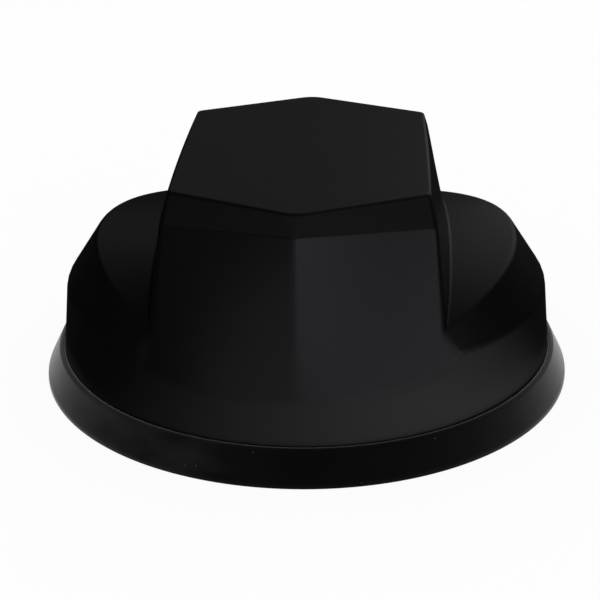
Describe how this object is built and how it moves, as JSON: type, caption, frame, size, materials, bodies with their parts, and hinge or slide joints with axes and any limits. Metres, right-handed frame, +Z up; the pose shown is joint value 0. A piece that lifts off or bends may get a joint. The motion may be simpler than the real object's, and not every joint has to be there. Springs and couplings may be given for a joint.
{
  "type": "gnss receiver",
  "caption": "Black roof-mount satellite positioning receiver: round cover with a raised hexagonal block on a flared rubber skirt, fixed by a hollow threaded stud, washer and nut.",
  "frame": {"origin": "on the stud's axis, in the plane of the rubber skirt's underside, where the roof's outer face lies", "axes": "+Z up along the stud's axis, the pictured front faces -Y, +X to the right"},
  "size_m": [0.15, 0.15, 0.09],
  "materials": {
    "cover_plastic": "satin moulded black",
    "skirt_rubber": "matte moulded",
    "die_cast_aluminium": "as cast",
    "seal_rubber": "matte",
    "screw_steel": "bright",
    "plated_brass": "nickel plated",
    "vent_plastic": "moulded",
    "board_laminate": "solder mask",
    "bare_brass": "bright",
    "shield_tinplate": "rolled",
    "chip_epoxy": "moulded",
    "ferrite_black": "sintered",
    "header_nylon": "moulded",
    "bracket_plastic": "moulded",
    "patch_ceramic": "ground",
    "electrode_silver": "fired silver",
    "coax_jacket": "extruded",
    "zinc_steel": "zinc plated"
  },
  "bodies": {
    "housing": {"radome": "cover_plastic", "base_gasket": "skirt_rubber", "base_plate": "die_cast_aluminium", "seal_ring": "seal_rubber", "radome_screws": "screw_steel", "mounting_stud": "plated_brass", "stud_seal": "seal_rubber", "stud_screws": "screw_steel", "cable_grommet": "seal_rubber", "vent_plug": "vent_plastic", "receiver_board": "board_laminate", "board_standoffs": "bare_brass", "board_screws": "screw_steel", "receiver_module": "shield_tinplate", "processor_chips": "chip_epoxy", "power_parts": "ferrite_black", "cable_header": "header_nylon", "backup_cell": "screw_steel", "board_coax_plug": "bare_brass", "antenna_bracket": "bracket_plastic", "bracket_screws": "screw_steel", "antenna_board": "board_laminate", "antenna_screws": "screw_steel", "lna_shield": "shield_tinplate", "patch_lower": "patch_ceramic", "patch_upper": "patch_ceramic", "patch_electrodes": "electrode_silver", "feed_pins": "bare_brass", "antenna_coax_plug": "bare_brass", "coax_jumper": "coax_jacket"},
    "washer": {"clamp_washer": "zinc_steel"},
    "nut": {"mounting_nut": "zinc_steel"}
  },
  "joints": [
    {"name": "washer_slide", "type": "slide", "parent": "housing", "child": "washer", "axis": [0, 0, 1], "range_m": [-0.008, 0.004]},
    {"name": "nut_turn", "type": "hinge", "parent": "washer", "child": "nut", "pos_m": [0, 0, -0.012], "axis": [0, 0, 1], "range_deg": [-1920, 960]}
  ],
  "couplings": [
    {"joint": "washer_slide", "follows": "nut_turn", "m_per_rad": 0.00023873}
  ]
}
